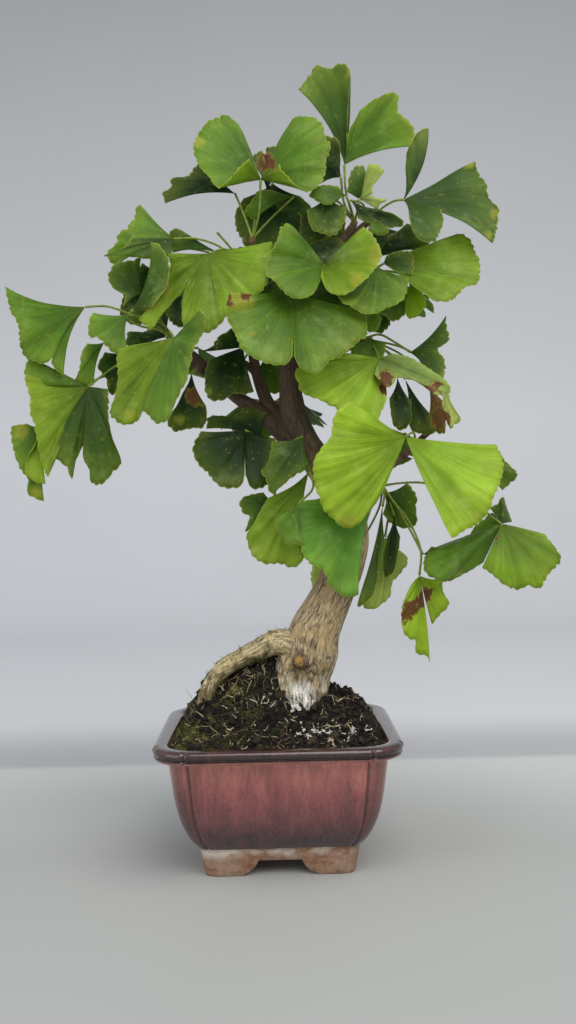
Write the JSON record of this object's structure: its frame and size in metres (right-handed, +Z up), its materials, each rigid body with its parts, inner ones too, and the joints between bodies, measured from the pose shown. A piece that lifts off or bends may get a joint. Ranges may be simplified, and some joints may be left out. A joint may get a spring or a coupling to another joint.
{
  "type": "ginkgo bonsai",
  "caption": "Small ginkgo tree with fan-shaped leaves, a leaning trunk and an arched surface root, standing in soil in a square glazed pot on bracket feet.",
  "frame": {"origin": "On the surface that the pot's feet stand on, under the middle of the pot.", "axes": "+Z up; -Y towards the tree's front, where the arched root runs down to the left; +X to the right of that front."},
  "size_m": [0.2818, 0.1167, 0.4137],
  "materials": {
    "glazed_clay": "gloss",
    "plastic_mesh": "matte",
    "potting_soil": "matte",
    "bark": "matte",
    "leaf": "satin"
  },
  "bodies": {
    "root": {"pot": "glazed_clay", "drain_mesh": "plastic_mesh", "soil": "potting_soil", "tree": "bark", "leaves_apex": "leaf", "leaves_apex_right": "leaf", "leaves_upper_left": "leaf", "leaves_centre_top": "leaf", "leaves_left_mid": "leaf", "leaves_centre": "leaf", "leaves_inner_left": "leaf", "leaves_right_top": "leaf", "leaves_right_mid": "leaf", "leaves_right_low": "leaf", "leaves_low_right": "leaf", "leaves_lower_left": "leaf", "leaves_left_arm": "leaf", "leaves_far_left": "leaf", "leaves_left_low": "leaf", "leaves_back_low": "leaf", "leaves_back_mid": "leaf", "leaves_back_right": "leaf", "leaves_back_left": "leaf", "leaves_back_top_right": "leaf", "leaves_back_top_left": "leaf", "leaves_back_top": "leaf"}
  },
  "joints": []
}
